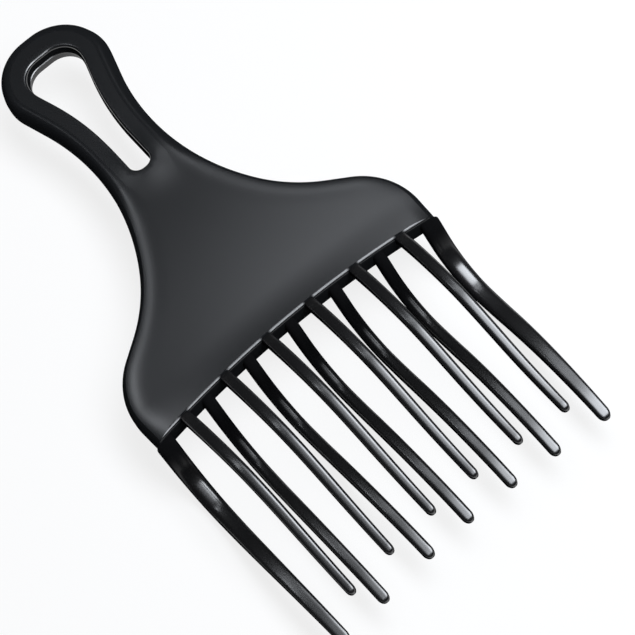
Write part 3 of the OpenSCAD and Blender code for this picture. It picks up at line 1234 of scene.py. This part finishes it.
@dataclass(frozen=True)
class Softbox:
    """A soft lamp that hangs level over the pick, turned about the upright.

    Its brightness is what its face shows where it isn't faded. The fades run in from its left,
    right, near and far borders.
    """

    name: str
    place: tuple[float, float]
    size: tuple[float, float]
    brightness: float
    fades: tuple[float, float, float, float]
    turn_deg: float = 0.0
    height: float = 600.0
    colour: Colour = (0.95, 0.99, 1.05)

    def build(self) -> None:
        """Builds the lamp."""
        data = bpy.data.lights.new(self.name, "AREA")
        data.shape = "RECTANGLE"
        data.size, data.size_y = (size * MM for size in self.size)
        data.energy = self.brightness * math.pi * data.size * data.size_y
        data.color = self.colour
        tree = shader_tree(data)
        spot = tree.out("ShaderNodeNewGeometry", output="Parametric")
        spread = tree.node("ShaderNodeSeparateXYZ", {0: spot})
        strength: Value | float = 1.0
        for axis, size, fades in zip("XY", self.size, (self.fades[:2], self.fades[2:])):
            run = Value(tree, spread.outputs[axis]) * size
            for from_border, fade in zip((run, size - run), fades):
                strength = tree.step(from_border, 0.0, fade) * strength
        glow = tree.out("ShaderNodeEmission", {"Strength": strength})
        tree.node("ShaderNodeOutputLight", {"Surface": glow})
        lamp = linked(self.name, data)
        place = Matrix.Translation(Vector((*self.place, self.height)) * MM)
        lamp.matrix_world = place @ Matrix.Rotation(math.radians(self.turn_deg), 4, "Z")


@dataclass(frozen=True)
class Studio:
    """The room's light and the camera."""

    lamps: tuple[Softbox, ...]
    world_level: float = 0.03
    azimuth_deg: float = -18.76
    elevation_deg: float = 62.02
    roll_deg: float = -23.01
    aim: tuple[float, float, float] = (17.96, -0.51, 0.0)
    distance: float = 578.8
    lens: float = 140.0
    sensor: float = 36.0
    clip_m: tuple[float, float] = (0.01, 20.0)
    shift: tuple[float, float] = (-0.0382, -0.0746)

    def build(self) -> None:
        """Builds the lamps, the world and the camera."""
        for lamp in self.lamps:
            lamp.build()
        world = bpy.data.worlds.new("studio")
        tree = shader_tree(world)
        sky = tree.out("ShaderNodeBackground", {"Color": WHITE, "Strength": self.world_level})
        tree.node("ShaderNodeOutputWorld", {"Surface": sky})
        bpy.context.scene.world = world
        bpy.context.scene.view_settings.view_transform = "Standard"
        self.camera()

    def camera(self) -> None:
        """Builds the camera at the photograph's viewing angle."""
        a, e = math.radians(self.azimuth_deg), math.radians(self.elevation_deg)
        back = Vector((math.sin(a) * math.cos(e), -math.cos(a) * math.cos(e), math.sin(e)))
        level = Vector((math.cos(a), math.sin(a), 0.0))
        turn = Matrix((level, back.cross(level), back)).transposed().to_4x4()
        data = bpy.data.cameras.new("camera")
        data.lens, data.sensor_width = self.lens, self.sensor
        data.shift_x, data.shift_y = self.shift
        data.clip_start, data.clip_end = self.clip_m
        camera = linked("camera", data)
        place = Vector(self.aim) * MM + back * self.distance * MM
        roll = Matrix.Rotation(math.radians(self.roll_deg), 4, "Z")
        camera.matrix_world = Matrix.Translation(place) @ turn @ roll
        bpy.context.scene.camera = camera


def tooth_rows(
    edge: ToothedEdge, tree: ToothTree, finish: bpy.types.Material
) -> tuple[ToothRow, ToothRow]:
    """Sets out the teeth.

    Args:
        edge: The edge that the teeth grow from.
        tree: The node tree that sweeps them.
        finish: Their plastic.

    Returns:
        The row that bows forward out of the front face, and the row that bows backward out of the
        toothed edge, with its broader outer teeth.
    """
    shared = {"edge": edge, "tree": tree, "finish": finish}
    front = ToothRow(
        name="front",
        count=6,
        pitches=(edge.root_pitch, 12.6, 12.5),
        length=59.9,
        root_in=1.6,
        root_z=3.9,
        bow=7.9,
        bow_shares=(
            (0.0, 0.0), (0.1, 0.39), (0.2, 0.69), (0.3, 0.9), (0.4, 1.0), (0.5, 0.94),
            (0.6, 0.77), (0.7, 0.57), (0.8, 0.42), (0.9, 0.335), (1.0, 0.305),
        ),
        form=ToothForm(widths=(3.1, 2.85, 2.3), depths=(2.7, 3.1, 2.7), twist_deg=2.0),
        lean=0.5,
        lean_shares=(1.0, 0.2, 0.5, 0.2, 0.2, 0.4),
        **shared,
    )
    inner = ToothForm(
        widths=(3.3, 3.0, 2.8),
        depths=(3.1, 3.4, 2.5),
        roundness=(0.8, 0.45),
        matt_root=(0.08, 0.45),
    )
    outer = replace(inner, widths=(5.1, 4.0, 3.0), roundness=(0.7, 0.42), matt_root=(0.06, 0.16))
    back = ToothRow(
        name="back",
        count=7,
        pitches=(edge.root_pitch, 12.95, 12.6),
        length=63.5,
        root_in=3.0,
        root_z=6.3,
        bow=-16.4,
        bow_shares=(
            (0.0, 0.0), (0.05, 0.255), (0.1, 0.625), (0.15, 0.84), (0.2, 0.95), (0.25, 1.0),
            (0.3, 0.995), (0.4, 0.91), (0.5, 0.79), (0.6, 0.69), (0.7, 0.62), (0.8, 0.58),
            (0.9, 0.57), (1.0, 0.595),
        ),
        form=inner,
        lean=1.0,
        lean_shares=(0.4, -0.5, 1.0, 0.25, 0.2, -0.3, 0.1),
        stops_at_edge=True,
        outer_form=outer,
        outer_length=62.9,
        outer_proud=0.7,
        outer_draw=1.5,
        **shared,
    )
    return front, back


def studio_lamps() -> tuple[Softbox, ...]:
    """Sets out the lamps.

    Returns:
        One large softbox over the pick, a dimmer one beyond it and two strips that light its rim.
    """
    return (
        Softbox(
            name="overhead_softbox",
            place=(205.0, -232.5),
            size=(450.0, 935.0),
            brightness=9.2,
            fades=(225.0, 60.0, 300.0, 180.0),
        ),
        Softbox(
            name="far_softbox",
            place=(210.0, 220.0),
            size=(440.0, 320.0),
            brightness=2.8,
            fades=(115.0, 100.0, 140.0, 95.0),
        ),
        Softbox(
            name="left_strip",
            place=(-52.0, 368.0),
            size=(75.0, 190.0),
            brightness=6.8,
            fades=(30.0, 30.0, 45.0, 60.0),
            turn_deg=-32.0,
        ),
        Softbox(
            name="right_strip",
            place=(200.0, 384.0),
            size=(130.0, 130.0),
            brightness=5.0,
            fades=(45.0, 45.0, 45.0, 45.0),
        ),
    )


def main() -> None:
    """Builds the pick, its studio and its camera."""
    logging.basicConfig(level=logging.INFO, format="%(name)s: %(message)s")
    satin = BlackPlastic(
        name="satin_black_plastic",
        tone=(0.0095, 0.01, 0.0108),
        tone_spread=0.12,
        roughness=0.5,
        roughness_spread=0.05,
        skin_roughness=0.19,
        grain=0.35,
        grain_height=0.002,
        flow=(9.0, 16.0, 9.0),
    ).material()
    gloss = BlackPlastic(
        name="gloss_black_plastic",
        tone=(0.006, 0.006, 0.0065),
        tone_spread=0.1,
        roughness=0.2,
        roughness_spread=0.03,
        skin_roughness=0.23,
        grain=0.6,
        grain_height=0.0003,
        flow=(0.8, 14.0, 0.8),
    ).material()
    edge = ToothedEdge()
    body = Moulding(finish=satin, edge=edge)
    body.blade()
    body.handle()
    tree = ToothTree()
    for row in tooth_rows(edge, tree, gloss):
        row.build()
    StudioFloor().build()
    Studio(lamps=studio_lamps()).build()


if __name__ == "__main__":
    main()
